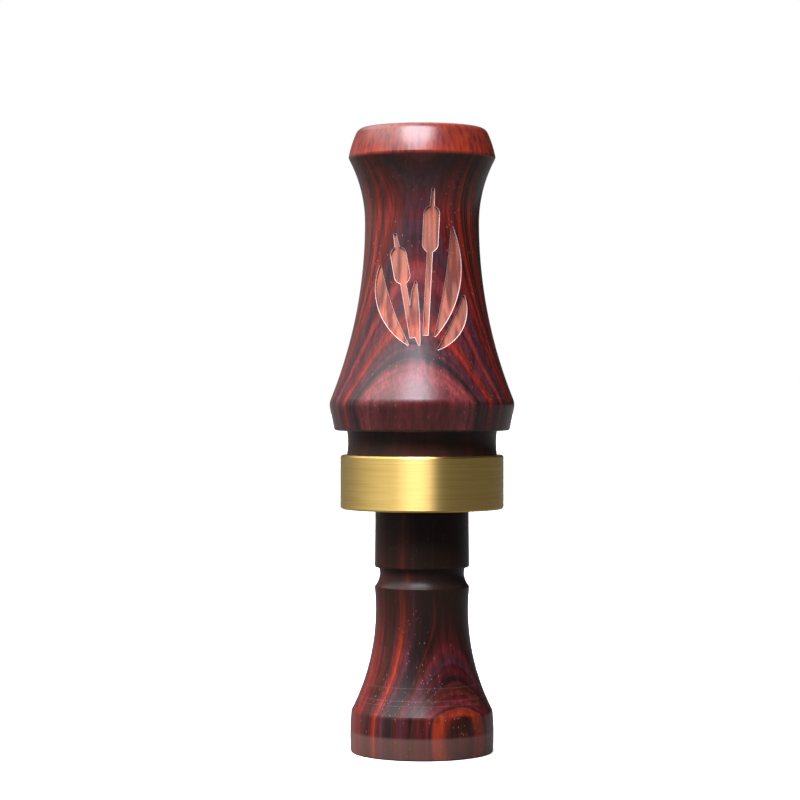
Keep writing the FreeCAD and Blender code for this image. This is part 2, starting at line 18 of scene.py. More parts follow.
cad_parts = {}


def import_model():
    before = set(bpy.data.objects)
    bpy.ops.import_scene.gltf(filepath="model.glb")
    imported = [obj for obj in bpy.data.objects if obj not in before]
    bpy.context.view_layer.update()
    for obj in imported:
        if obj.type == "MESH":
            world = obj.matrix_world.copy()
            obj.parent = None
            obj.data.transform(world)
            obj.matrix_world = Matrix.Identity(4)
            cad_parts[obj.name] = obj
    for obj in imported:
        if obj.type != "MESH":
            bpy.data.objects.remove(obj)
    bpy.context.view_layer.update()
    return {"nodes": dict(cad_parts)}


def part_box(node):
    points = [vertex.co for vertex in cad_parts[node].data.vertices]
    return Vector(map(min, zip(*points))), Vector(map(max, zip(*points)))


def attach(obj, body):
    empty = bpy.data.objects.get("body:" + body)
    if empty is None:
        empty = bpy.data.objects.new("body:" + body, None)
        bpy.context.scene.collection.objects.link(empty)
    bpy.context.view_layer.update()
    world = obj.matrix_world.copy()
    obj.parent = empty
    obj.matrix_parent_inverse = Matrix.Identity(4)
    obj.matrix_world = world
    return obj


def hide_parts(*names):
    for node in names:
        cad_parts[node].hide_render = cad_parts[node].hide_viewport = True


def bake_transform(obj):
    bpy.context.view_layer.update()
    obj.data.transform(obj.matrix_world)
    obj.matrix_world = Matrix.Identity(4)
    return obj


LOG = logging.getLogger("duck_call")
MM = 0.001
HAIR = 1e-6

Colour = tuple[float, float, float, float]
Socket = bpy.types.NodeSocket
Tree = bpy.types.NodeTree


# ------------------------------------------------------------------------------------------
# Helpers
# ------------------------------------------------------------------------------------------
def linear(hex_colour: str) -> Colour:
    """Turns an sRGB hex colour into the linear colour that shaders use.

    Args:
        hex_colour: Six hex digits after a hash, such as "#803020".

    Returns:
        Red, green, blue and an alpha of 1.
    """
    red, green, blue = (
        part / 12.92 if part <= 0.04045 else ((part + 0.055) / 1.055) ** 2.4
        for part in (int(hex_colour[i : i + 2], 16) / 255 for i in (1, 3, 5))
    )
    return red, green, blue, 1.0


def add_node(
    tree: Tree, kind: str, inputs: Optional[dict] = None, **settings: Any
) -> bpy.types.Node:
    """Adds a node to a tree, with its settings, values and links.

    Args:
        tree: The node tree.
        kind: The node's type, such as "ShaderNodeMath".
        inputs: Input name or number to a value, or to the socket that feeds it.
        settings: Properties of the node.  stops, for a colour ramp, lists (place, colour).

    Returns:
        The new node.
    """
    node = tree.nodes.new(kind)
    stops = settings.pop("stops", None)
    for name, value in settings.items():
        setattr(node, name, value)
    if stops:
        elements = node.color_ramp.elements
        while len(elements) < len(stops):
            elements.new(1.0)
        for element, (place, colour) in zip(elements, stops):
            element.position = place
            element.color = colour
    for name, value in (inputs or {}).items():
        if isinstance(value, Socket):
            tree.links.new(value, node.inputs[name])
        else:
            node.inputs[name].default_value = value
    return node


def new_material(name: str) -> tuple[bpy.types.Material, Tree, bpy.types.Node]:
    """Makes a material that has only its principled shader.

    Args:
        name: The finish's name.

    Returns:
        The material, its node tree and its principled shader.
    """
    material = bpy.data.materials.new(name)
    material.use_nodes = True
    tree = material.node_tree
    return material, tree, tree.nodes["Principled BSDF"]


def wear(piece: bpy.types.Object, material: bpy.types.Material) -> None:
    """Puts a material on every slot of a piece.

    Args:
        piece: The piece.
        material: Its finish.
    """
    if not piece.material_slots:
        piece.data.materials.append(material)
    for slot in piece.material_slots:
        slot.material = material


def finish_mesh(name: str, shape: bmesh.types.BMesh) -> bpy.types.Object:
    """Turns a finished bmesh into a smooth-shaded object at the origin.

    Args:
        name: The piece's name.
        shape: The mesh being built; it is freed.

    Returns:
        The new object, linked to the scene.
    """
    bmesh.ops.recalc_face_normals(shape, faces=shape.faces[:])
    mesh = bpy.data.meshes.new(name)
    shape.to_mesh(mesh)
    shape.free()
    mesh.polygons.foreach_set("use_smooth", [True] * len(mesh.polygons))
    mesh.set_sharp_from_angle(angle=math.radians(40))
    piece = bpy.data.objects.new(name, mesh)
    bpy.context.scene.collection.objects.link(piece)
    return piece


# ------------------------------------------------------------------------------------------
# Finishes
# ------------------------------------------------------------------------------------------
class Tone(Enum):
    """Cocobolo's colours, from its bright sapwood side to its near-black growth lines."""

    ORANGE = "#9c3a1a"
    RED = "#86261a"
    ROSE = "#743033"
    WINE = "#591c20"
    PURPLE = "#40222b"
    BROWN = "#3c1a14"
    # SHADE_UMBER is the tone that painted shade greys the wood towards.
    SHADE_UMBER = "#33261e"
    CHARCOAL = "#241619"
    BLACK = "#150a09"


@dataclass(frozen=True)
class Engraving:
    """Bare wood at the floor of the cut: cut through the lacquer, so it is paler and matte.

    The cut's floor lies an even depth inside the turned neck, so the finish finds it by how
    far a point is inside the neck's two hollows.
    """

    neck_radius_mm: float = 12.18
    neck_height_mm: float = 112.8
    lower_arc_mm: float = 100.5
    upper_arc_mm: float = 28.7
    depth_mm: float = 0.4
    foot_mm: float = 84.0
    top_mm: float = 124.5
    pale: str = "#bd7a63"
    dull: str = "#754a40"
    fibre_mm: float = 1.2
    figure_gain: float = 3.5
    figure_share: float = 0.22
    # Near-white edge tone: partly broken-lacquer fibres, partly a painted highlight along the cut's
    # edges.
    edge: str = "#f6e6e2"
    edge_mm: float = 0.16
    roughness: float = 0.6
    lacquer: float = 0.1

    def mask(self, tree: Tree, position_mm: Socket) -> Socket:
        """Adds nodes that give 1 on the cut's floor and 0 on the turned surface.

        Args:
            tree: The wood's node tree.
            position_mm: The point, in millimetres.

        Returns:
            The mask's socket.
        """
        split = add_node(tree, "ShaderNodeSeparateXYZ", {0: position_mm}).outputs
        level = {"X": split["X"], "Y": split["Y"]}
        flat = add_node(tree, "ShaderNodeCombineXYZ", level).outputs[0]
        radius = add_node(tree, "ShaderNodeVectorMath", {0: flat}, operation="LENGTH")
        found: dict[Any, Socket] = {
            "radius": radius.outputs["Value"],
            "forward": split["Y"],
            "height": split["Z"],
        }
        for name, operation, first, second in (
            ("rise", "SUBTRACT", "height", self.neck_height_mm),
            ("above", "GREATER_THAN", "rise", 0.0),
            ("change", "MULTIPLY", "above", self.upper_arc_mm - self.lower_arc_mm),
            ("arc", "ADD", "change", self.lower_arc_mm),
            ("arc_squared", "MULTIPLY", "arc", "arc"),
            ("rise_squared", "MULTIPLY", "rise", "rise"),
            ("chord_squared", "SUBTRACT", "arc_squared", "rise_squared"),
            ("chord", "SQRT", "chord_squared", 0.0),
            ("centre", "ADD", "arc", self.neck_radius_mm),
            ("hollow", "SUBTRACT", "centre", "chord"),
            ("depth", "SUBTRACT", "hollow", "radius"),
            ("shallow", "LESS_THAN", "depth", self.depth_mm * 2),
            ("front", "LESS_THAN", "forward", 0.0),
            ("over_foot", "GREATER_THAN", "height", self.foot_mm),
            ("under_top", "LESS_THAN", "height", self.top_mm),
        ):
            terms = {0: found[first], 1: found.get(second, second)}
            found[name] = add_node(tree, "ShaderNodeMath", terms, operation=operation).outputs[0]
        inside = {
            "Value": found["depth"],
            "From Min": self.depth_mm * 0.25,
            "From Max": self.depth_mm * 0.7,
        }
        floor = add_node(tree, "ShaderNodeMapRange", inside).outputs[0]
        for test in ("shallow", "front", "over_foot", "under_top"):
            terms = {0: floor, 1: found[test]}
            floor = add_node(tree, "ShaderNodeMath", terms, operation="MULTIPLY").outputs[0]
        return floor


@dataclass(frozen=True)
class Cocobolo:
    """Lacquered cocobolo: an oily, streaked rosewood, turned, sanded fine and lacquered.

    The grain is solid: growth layers run through the block, so a flare cuts them into arches
    and a cylinder into stripes.  The eye gets deep red with near-black lines, short pale and
    dark pores along the grain, faint turning marks, and a soft gloss over all of it.
    """

    name: str
    layers: tuple[tuple[float, Tone], ...]
    facing_deg: float = 0.0
    ring_radius_mm: float = 70.0
    lean: float = 0.0
    level_mm: float = 100.0
    wobble_mm: float = 0.6
    streaks: float = 1.0
    front_streaks: float = 1.0
    front_depths_mm: tuple[float, float] = (8.0, 11.0)
    seed: float = 0.0
    reach_mm: float = 24.0
    ior: float = 1.5
    roughness: float = 0.34
    pore_roughness: float = 0.6
    pore_share: float = 0.55
    fleck: str = "#c39a86"
    lacquer: float = 1.0
    lacquer_roughness: float = 0.28
    # Painted shade: height bands, as (start, full, share kept), darkened and greyed towards umber
    # where overhangs and the band shade the wood; their lacquer is thinned too.
    painted_shade_zones_mm: tuple[tuple[float, float, float], ...] = ()
    shade_umber_share: float = 0.7
    glowing_lip_mm: Optional[float] = None
    glow_depth_mm: float = 4.0
    # Greyer band round the foot: partly dust, partly painted glare.
    dust_and_glare_below_mm: Optional[float] = None
    dust: str = "#8a685e"
    dust_and_glare_share: float = 0.36
    turning_marks_mm: tuple[float, ...] = ()
    mark: str = "#a07c80"
    mark_share: float = 0.12
    engraving: Optional[Engraving] = None

    def build(self) -> bpy.types.Material:
        """Builds the material.

        Returns:
            The finished material.
        """
        material, tree, shader = new_material(self.name)
        place = add_node(tree, "ShaderNodeTexCoord").outputs["Object"]
        scale = {0: place, "Scale": 1 / MM}
        position = add_node(tree, "ShaderNodeVectorMath", scale, operation="SCALE").outputs[0]
        height = add_node(tree, "ShaderNodeSeparateXYZ", {0: position}).outputs["Z"]
        turn = {"Vector": position, "Rotation": (0, 0, math.radians(180 - self.facing_deg))}
        block = add_node(tree, "ShaderNodeMapping", turn).outputs[0]
        depth = self._layer_depth(tree, block)
        lively = self._liveliness(tree, depth)
        colour = self._layer_colour(tree, depth)
        colour = self._streaks(tree, depth, block, lively, colour)
        colour = self._fibres(tree, block, colour)
        pores, colour = self._pores(tree, block, lively, colour)
        # Painted shade in the shaded height bands; the same share thins the lacquer.
        gain = self._painted_shade_gain(tree, height)
        colour = self._paint_shade(tree, gain, colour)
        share = {0: gain, 1: self.lacquer}
        coat = add_node(tree, "ShaderNodeMath", share, operation="MULTIPLY").outputs[0]
        if self.glowing_lip_mm:
            colour, coat = self._lip(tree, block, height, colour, coat)
        # Dust and painted glare round the foot.
        if self.dust_and_glare_below_mm:
            colour = self._dust_and_glare(tree, height, colour)
        colour = self._marks(tree, height, colour)
        ends = {0: pores, 2: self.roughness, 3: self.pore_roughness}
        rough = add_node(tree, "ShaderNodeMix", ends).outputs[0]
        if self.engraving:
            mask = self.engraving.mask(tree, position)
            bare = {0: mask, 6: colour, 7: self._bare_wood(tree, block, colour)}
            colour = add_node(tree, "ShaderNodeMix", bare, data_type="RGBA").outputs[2]
            ends = {0: mask, 2: rough, 3: self.engraving.roughness}
            rough = add_node(tree, "ShaderNodeMix", ends).outputs[0]
            ends = {0: mask, 2: coat, 3: self.engraving.lacquer}
            coat = add_node(tree, "ShaderNodeMix", ends).outputs[0]
            # Pale broken fibres and a painted highlight along the cut's edges.
            colour = self._pale_edge_and_painted_highlight(tree, height, colour)
        for name, socket in (
            ("Coat Weight", coat),
            ("Base Color", colour),
            ("Roughness", rough),
            ("Normal", self._relief(tree, position, pores)),
        ):
            tree.links.new(socket, shader.inputs[name])
        shader.inputs["IOR"].default_value = self.ior
        shader.inputs["Specular IOR Level"].default_value = 0.1
        shader.inputs["Coat Roughness"].default_value = self.lacquer_roughness
        shader.inputs["Coat IOR"].default_value = self.ior
        return material

    def _layer_depth(self, tree: Tree, block: Socket) -> Socket:
        """Millimetres outwards through the growth layers, which bend and wander a little.

        Args:
            tree: The wood's node tree.
            block: The block's coordinates, in millimetres, with +Y outwards.

        Returns:
            The depth.
        """
        shift = {0: block, 1: (0, self.ring_radius_mm, 0)}
        moved = add_node(tree, "ShaderNodeVectorMath", shift, operation="ADD").outputs[0]
        level = {0: moved, 1: (1, 1, 0)}
        flat = add_node(tree, "ShaderNodeVectorMath", level, operation="MULTIPLY").outputs[0]
        length = add_node(tree, "ShaderNodeVectorMath", {0: flat}, operation="LENGTH")
        rings = {0: length.outputs["Value"], 1: self.ring_radius_mm}
        depth = add_node(tree, "ShaderNodeMath", rings, operation="SUBTRACT").outputs[0]
        height = add_node(tree, "ShaderNodeSeparateXYZ", {0: block}).outputs["Z"]
        rise = {0: height, 1: self.level_mm}
        above = add_node(tree, "ShaderNodeMath", rise, operation="SUBTRACT").outputs[0]
        tilt = {0: above, 1: self.lean, 2: depth}
        depth = add_node(tree, "ShaderNodeMath", tilt, operation="MULTIPLY_ADD").outputs[0]
        for period_mm, along, amount in ((16.0, 0.35, 1.0), (4.5, 0.22, 0.28)):
            wander = self._noise(tree, block, period_mm, along, detail=2.0)
            reach = amount * self.wobble_mm
            swing = {0: wander, 1: 2 * reach, 2: -reach}
            offset = add_node(tree, "ShaderNodeMath", swing, operation="MULTIPLY_ADD").outputs[0]
            depth = add_node(tree, "ShaderNodeMath", {0: depth, 1: offset}).outputs[0]
        return depth

    def _noise(
        self, tree: Tree, block: Socket, period_mm: float, along: float, detail: float
    ) -> Socket:
        """Noise with a period across the grain, stretched along it.

        Args:
            tree: The wood's node tree.
            block: The block's coordinates, in millimetres.
            period_mm: The pattern's size across the grain.
            along: The share of that fineness left along the grain, from 0 to 1.
            detail: The noise's octaves.

        Returns:
            The noise, from 0 to 1.
        """
        shift = (self.seed, self.seed * 0.7, 0)
        squash = {"Vector": block, "Location": shift, "Scale": (1, 1, along)}
        stretched = add_node(tree, "ShaderNodeMapping", squash).outputs[0]
        inputs = {
            "Vector": stretched,
            "Scale": 1 / period_mm,
            "Detail": detail,
            "Roughness": 0.55,
        }
        return add_node(tree, "ShaderNodeTexNoise", inputs).outputs[0]

    def _layer_colour(self, tree: Tree, depth: Socket) -> Socket:
        """The colours of the growth layers by their depth in the block.

        Args:
            tree: The wood's node tree.
            depth: The depth through the growth layers, in millimetres.

        Returns:
            The colour.
        """
        reach = self.reach_mm
        share = {"Value": depth, "From Min": -reach, "From Max": reach}
        place = add_node(tree, "ShaderNodeMapRange", share).outputs[0]
        stops = [((mm + reach) / (2 * reach), linear(tone.value)) for mm, tone in self.layers]
        return add_node(tree, "ShaderNodeValToRGB", {0: place}, stops=stops).outputs[0]

    def _liveliness(self, tree: Tree, depth: Socket) -> Socket:
        """How lively the figure is: fully at the sides, less in the front's outer layers.

        Args:
            tree: The wood's node tree.
            depth: The depth through the growth layers, in millimetres.

        Returns:
            The liveliness, up to 1.
        """
        start_mm, end_mm = self.front_depths_mm
        share = {
            "Value": depth,
            "From Min": start_mm,
            "From Max": end_mm,
            "To Min": 1.0,
            "To Max": self.front_streaks,
        }
        return add_node(tree, "ShaderNodeMapRange", share).outputs[0]

    def _painted_shade_gain(self, tree: Tree, height: Socket) -> Socket:
        """How much colour and gloss is left in the height bands where shade is painted in.

        Args:
            tree: The wood's node tree.
            height: The point's height, in millimetres.

        Returns:
            The share that is left.
        """
        gain = 1.0
        for start_mm, full_mm, keep in self.painted_shade_zones_mm:
            share = {
                "Value": height,
                "From Min": start_mm,
                "From Max": full_mm,
                "To Min": 1.0,
                "To Max": keep,
            }
            kept = add_node(tree, "ShaderNodeMapRange", share).outputs[0]
            both = {0: kept, 1: gain}
            gain = add_node(tree, "ShaderNodeMath", both, operation="MULTIPLY").outputs[0]
        return gain

    def _paint_shade(self, tree: Tree, gain: Socket, colour: Socket) -> Socket:
        """Paints shade: darkens the colour by the gain and greys what is left towards umber.

        Args:
            tree: The wood's node tree.
            gain: The share of the colour that is left.
            colour: The colour of the wood so far.

        Returns:
            The colour, subdued.
        """
        less = {0: colour, "Scale": gain}
        dim = add_node(tree, "ShaderNodeVectorMath", less, operation="SCALE").outputs[0]
        lost = {"Value": gain, "From Min": 1.0, "From Max": 0.0, "To Max": self.shade_umber_share}
        share = add_node(tree, "ShaderNodeMapRange", lost).outputs[0]
        tones = {0: share, 6: dim, 7: linear(Tone.SHADE_UMBER.value)}
        return add_node(tree, "ShaderNodeMix", tones, data_type="RGBA").outputs[2]

    def _dust_and_glare(self, tree: Tree, height: Socket, colour: Socket) -> Socket:
        """A greyer band round the foot: partly dust and wear, partly painted glare.

        Args:
            tree: The wood's node tree.
            height: The point's height, in millimetres.
            colour: The colour of the wood so far.

        Returns:
            The colour with the dust.
        """
        low = {
            "Value": height,
            "From Min": self.dust_and_glare_below_mm + 0.3,
            "From Max": self.dust_and_glare_below_mm - 0.3,
            "To Max": self.dust_and_glare_share,
        }
        share = add_node(tree, "ShaderNodeMapRange", low).outputs[0]
        tones = {0: share, 6: colour, 7: linear(self.dust)}
        return add_node(tree, "ShaderNodeMix", tones, data_type="RGBA").outputs[2]

    def _streaks(
        self, tree: Tree, depth: Socket, block: Socket, lively: Socket, colour: Socket
    ) -> Socket:
        """Fine dark and bright lines inside the growth layers, stronger in some places.

        Args:
            tree: The wood's node tree.
            depth: The depth through the growth layers, in millimetres.
            block: The block's coordinates, in millimetres.
            lively: How lively the figure is.
            colour: The colour of the wood so far.

        Returns:
            The colour with the lines.
        """
        patches = self._noise(tree, block, period_mm=7.0, along=0.25, detail=1.0)
        patch = {"Value": patches, "From Min": 0.25, "From Max": 0.5, "To Min": 0.25, "To Max": 1.0}
        local = add_node(tree, "ShaderNodeMapRange", patch).outputs[0]
        both = {0: local, 1: lively}
        there = add_node(tree, "ShaderNodeMath", both, operation="MULTIPLY").outputs[0]
        for period_mm, tone, low, high, strength in (
            (1.5, Tone.BLACK, 0.52, 0.60, 0.9),
            (0.62, Tone.BLACK, 0.50, 0.62, 0.85),
            (1.9, Tone.ORANGE, 0.58, 0.68, 0.3),
            (0.5, Tone.RED, 0.56, 0.66, 0.5),
        ):
            line = {"W": depth, "Scale": 1 / period_mm, "Detail": 1.0}
            wave = add_node(tree, "ShaderNodeTexNoise", line, noise_dimensions="1D").outputs[0]
            edge = {
                "Value": wave,
                "From Min": low,
                "From Max": high,
                "To Max": strength * self.streaks,
            }
            amount = add_node(tree, "ShaderNodeMapRange", edge).outputs[0]
            both = {0: amount, 1: there}
            share = add_node(tree, "ShaderNodeMath", both, operation="MULTIPLY").outputs[0]
            tones = {0: share, 6: colour, 7: linear(tone.value)}
            colour = add_node(tree, "ShaderNodeMix", tones, data_type="RGBA").outputs[2]
        return colour

    def _fibres(self, tree: Tree, block: Socket, colour: Socket) -> Socket:
        """Hair-fine light and dark fibres along the grain, and broader soft bands of them.

        Args:
            tree: The wood's node tree.
            block: The block's coordinates, in millimetres.
            colour: The colour of the wood so far.

        Returns:
            The colour with the fibres.
        """
        for period_mm, along, spread in ((0.35, 0.06, 0.3), (1.1, 0.05, 0.34)):
            level = {
                "Value": self._noise(tree, block, period_mm, along, detail=2.0),
                "From Min": 0.3,
                "From Max": 0.7,
                "To Min": 1 - spread,
                "To Max": 1 + spread,
            }
            gain = add_node(tree, "ShaderNodeMapRange", level).outputs[0]
            scaled = {0: colour, "Scale": gain}
            colour = add_node(tree, "ShaderNodeVectorMath", scaled, operation="SCALE").outputs[0]
        return colour

    def _lip(
        self, tree: Tree, block: Socket, height: Socket, colour: Socket, coat: Socket
    ) -> tuple[Socket, Socket]:
        """The lip's end grain, which drinks more oil and glows orange-red between dark fibres.

        Args:
            tree: The wood's node tree.
            block: The block's coordinates, in millimetres.
            height: The point's height, in millimetres.
            colour: The colour of the wood so far.
            coat: How much lacquer there is so far.

        Returns:
            The colour and the lacquer with the lip.
        """
        edge = {
            "Value": height,
            "From Min": self.glowing_lip_mm - 0.5,
            "From Max": self.glowing_lip_mm + 0.2,
        }
        above = add_node(tree, "ShaderNodeMapRange", edge).outputs[0]
        fibre = self._noise(tree, block, period_mm=0.7, along=0.04, detail=1.0)
        tones = [
            (0.3, linear(Tone.WINE.value)),
            (0.46, linear(Tone.RED.value)),
            (0.76, linear(Tone.ORANGE.value)),
        ]
        glow = add_node(tree, "ShaderNodeValToRGB", {0: fibre}, stops=tones).outputs[0]
        fade = {
            "Value": height,
            "From Min": self.glowing_lip_mm,
            "From Max": self.glowing_lip_mm + self.glow_depth_mm,
            "To Min": 0.9,
            "To Max": 0.6,
        }
        less = add_node(tree, "ShaderNodeMapRange", fade).outputs[0]
        both = {0: above, 1: less}
        share = add_node(tree, "ShaderNodeMath", both, operation="MULTIPLY").outputs[0]
        blend = {0: share, 6: colour, 7: glow}
        colour = add_node(tree, "ShaderNodeMix", blend, data_type="RGBA").outputs[2]
        full = {0: above, 2: coat, 3: self.lacquer}
        return colour, add_node(tree, "ShaderNodeMix", full).outputs[0]

    def _marks(self, tree: Tree, height: Socket, colour: Socket) -> Socket:
        """Single fine rings that the turning tool left, a little paler than the wood.

        Args:
            tree: The wood's node tree.
            height: The point's height, in millimetres.
            colour: The colour of the wood so far.

        Returns:
            The colour with the rings.
        """
        for mark_mm in self.turning_marks_mm:
            rise = {0: height, 1: mark_mm}
            away = add_node(tree, "ShaderNodeMath", rise, operation="SUBTRACT").outputs[0]
            gap = add_node(tree, "ShaderNodeMath", {0: away}, operation="ABSOLUTE").outputs[0]
            near = {"Value": gap, "From Min": 0.12, "From Max": 0.02, "To Max": self.mark_share}
            share = add_node(tree, "ShaderNodeMapRange", near).outputs[0]
            tones = {0: share, 6: colour, 7: linear(self.mark)}
            colour = add_node(tree, "ShaderNodeMix", tones, data_type="RGBA").outputs[2]
        return colour

    def _pores(
        self, tree: Tree, block: Socket, lively: Socket, colour: Socket
    ) -> tuple[Socket, Socket]:
        """Short dashes where the turning opens a pore: some dark, some filled pale.

        Args:
            tree: The wood's node tree.
            block: The block's coordinates, in millimetres.
            lively: How lively the figure is.
            colour: The colour of the wood so far.

        Returns:
            The pores' mask, and the colour with them.
        """
        patches = self._noise(tree, block, period_mm=5.0, along=0.5, detail=2.0)
        crowd = {"Value": patches, "From Min": 0.46, "From Max": 0.62}
        group = add_node(tree, "ShaderNodeMapRange", crowd).outputs[0]
        both = {0: group, 1: lively}
        crowded = add_node(tree, "ShaderNodeMath", both, operation="MULTIPLY").outputs[0]
        masks = []
        for spacing_mm, size, chance, tone, crowding in (
            (0.5, 0.24, 0.6, Tone.BLACK.value, 0.0),
            (0.4, 0.2, 0.96, self.fleck, 0.5),
        ):
            shift = (spacing_mm * 40, self.seed, 0)
            squash = {"Vector": block, "Location": shift, "Scale": (1, 1, 0.28)}
            stretched = add_node(tree, "ShaderNodeMapping", squash).outputs[0]
            grid = {"Vector": stretched, "Scale": 1 / spacing_mm}
            cells = add_node(tree, "ShaderNodeTexVoronoi", grid).outputs
            near = {"Value": cells["Distance"], "From Min": size, "From Max": size * 0.5}
            dot = add_node(tree, "ShaderNodeMapRange", near).outputs[0]
            lot = add_node(tree, "ShaderNodeSeparateColor", {0: cells["Color"]}).outputs[0]
            bar = {0: crowded, 1: -crowding, 2: chance}
            level = add_node(tree, "ShaderNodeMath", bar, operation="MULTIPLY_ADD").outputs[0]
            draw = {0: lot, 1: level}
            picked = add_node(tree, "ShaderNodeMath", draw, operation="GREATER_THAN").outputs[0]
            both = {0: dot, 1: picked}
            mask = add_node(tree, "ShaderNodeMath", both, operation="MULTIPLY").outputs[0]
            less = {0: mask, 1: self.pore_share}
            faint = add_node(tree, "ShaderNodeMath", less, operation="MULTIPLY").outputs[0]
            tones = {0: faint, 6: colour, 7: linear(tone)}
            colour = add_node(tree, "ShaderNodeMix", tones, data_type="RGBA").outputs[2]
            masks.append(mask)
        dark_or_pale = {0: masks[0], 1: masks[1]}
        either = add_node(tree, "ShaderNodeMath", dark_or_pale, operation="MAXIMUM").outputs[0]
        return either, colour

    def _bare_wood(self, tree: Tree, block: Socket, colour: Socket) -> Socket:
        """The grain without lacquer: pale salmon between duller brown lines.

        Args:
            tree: The wood's node tree.
            block: The block's coordinates, in millimetres.
            colour: The lacquered wood's colour, whose dark lines run on into the cut.

        Returns:
            The bare wood's colour.
        """
        cut = self.engraving
        fibre = self._noise(tree, block, cut.fibre_mm, along=0.03, detail=1.0)
        tones = [(0.38, linear(cut.dull)), (0.6, linear(cut.pale))]
        plain = add_node(tree, "ShaderNodeValToRGB", {0: fibre}, stops=tones).outputs[0]
        lighter = {0: colour, "Scale": cut.figure_gain}
        figured = add_node(tree, "ShaderNodeVectorMath", lighter, operation="SCALE").outputs[0]
        blend = {0: cut.figure_share, 6: plain, 7: figured}
        return add_node(tree, "ShaderNodeMix", blend, data_type="RGBA").outputs[2]

    def _pale_edge_and_painted_highlight(self, tree: Tree, height: Socket, colour: Socket) -> Socket:
        """Paints the crisp edges of the cut near-white: partly the pale fibres where the lacquer is
        broken through, partly a painted highlight.

        Args:
            tree: The wood's node tree.
            height: The point's height, in millimetres.
            colour: The colour of the wood so far.

        Returns:
            The colour with the pale edges.
        """
        cut = self.engraving
        soft = add_node(tree, "ShaderNodeBevel", {"Radius": cut.edge_mm * MM}, samples=8)
        flat = add_node(tree, "ShaderNodeNewGeometry").outputs["Normal"]
        align = {0: soft.outputs[0], 1: flat}
        same = add_node(tree, "ShaderNodeVectorMath", align, operation="DOT_PRODUCT")
        turned = {"Value": same.outputs["Value"], "From Min": 0.99, "From Max": 0.88}
        share = add_node(tree, "ShaderNodeMapRange", turned).outputs[0]
        for test, limit_mm in (("GREATER_THAN", cut.foot_mm), ("LESS_THAN", cut.top_mm)):
            bound = {0: height, 1: limit_mm}
            there = add_node(tree, "ShaderNodeMath", bound, operation=test).outputs[0]
            both = {0: share, 1: there}
            share = add_node(tree, "ShaderNodeMath", both, operation="MULTIPLY").outputs[0]
        # Painted highlight, with pale broken fibres, on every edge of the cut.
        tones = {0: share, 6: colour, 7: linear(cut.edge)}
        return add_node(tree, "ShaderNodeMix", tones, data_type="RGBA").outputs[2]

    def _relief(self, tree: Tree, position: Socket, pores: Socket) -> Socket:
        """Faint turning marks round the call, and the pores' shallow dips.

        Args:
            tree: The wood's node tree.
            position: The point, in millimetres.
            pores: The pores' mask.

        Returns:
            The normal.
        """
        rings = {"Vector": position, "Scale": (0.02, 0.02, 1.0)}
        across = add_node(tree, "ShaderNodeMapping", rings).outputs[0]
        marks = {"Vector": across, "Scale": 1.6, "Detail": 3.0}
        turning = add_node(tree, "ShaderNodeTexNoise", marks).outputs[0]
        dips = {0: pores, 1: -0.6, 2: turning}
        height = add_node(tree, "ShaderNodeMath", dips, operation="MULTIPLY_ADD").outputs[0]
        bump = {"Height": height, "Strength": 0.25, "Distance": 0.02 * MM}
        if self.engraving:
            edge = {"Radius": self.engraving.edge_mm * MM}
            bump["Normal"] = add_node(tree, "ShaderNodeBevel", edge, samples=8).outputs[0]
        return add_node(tree, "ShaderNodeBump", bump).outputs[0]


@dataclass(frozen=True)
class TurnedBrass:
    """Bar brass faced on a lathe and left satin: fine rings round it stretch each highlight."""

    name: str = "turned_brass"
    colour: str = "#f8d582"
    shade: str = "#ecc56e"
    roughness: float = 0.38
    roughness_spread: float = 0.05
    stretch: float = 0.95
    ring_mm: float = 0.35
    ring_depth_mm: float = 0.005

    def build(self) -> bpy.types.Material:
        """Builds the material.

        Returns:
            The finished material.
        """
        material, tree, shader = new_material(self.name)
        place = add_node(tree, "ShaderNodeTexCoord").outputs["Object"]
        squash = {"Vector": place, "Scale": (0.02 / MM, 0.02 / MM, 1 / MM)}
        rings = add_node(tree, "ShaderNodeMapping", squash).outputs[0]
        scratch = {"Vector": rings, "Scale": 1 / self.ring_mm, "Detail": 4.0, "Roughness": 0.7}
        lines = add_node(tree, "ShaderNodeTexNoise", scratch).outputs[0]
        tones = [(0.35, linear(self.shade)), (0.6, linear(self.colour))]
        colour = add_node(tree, "ShaderNodeValToRGB", {0: lines}, stops=tones).outputs[0]
        level = {
            "Value": lines,
            "To Min": self.roughness - self.roughness_spread,
            "To Max": self.roughness + self.roughness_spread,
        }
        rough = add_node(tree, "ShaderNodeMapRange", level).outputs[0]
        bump = {"Height": lines, "Strength": 0.1, "Distance": self.ring_depth_mm * MM}
        normal = add_node(tree, "ShaderNodeBump", bump).outputs[0]
        around = add_node(tree, "ShaderNodeTangent", direction_type="RADIAL", axis="Z").outputs[0]
        shader.inputs["Metallic"].default_value = 1.0
        shader.inputs["Anisotropic"].default_value = self.stretch
        shader.inputs["Anisotropic Rotation"].default_value = 0.25
        for name, socket in (
            ("Base Color", colour),
            ("Roughness", rough),
            ("Normal", normal),
            ("Tangent", around),
        ):
            tree.links.new(socket, shader.inputs[name])
        return material


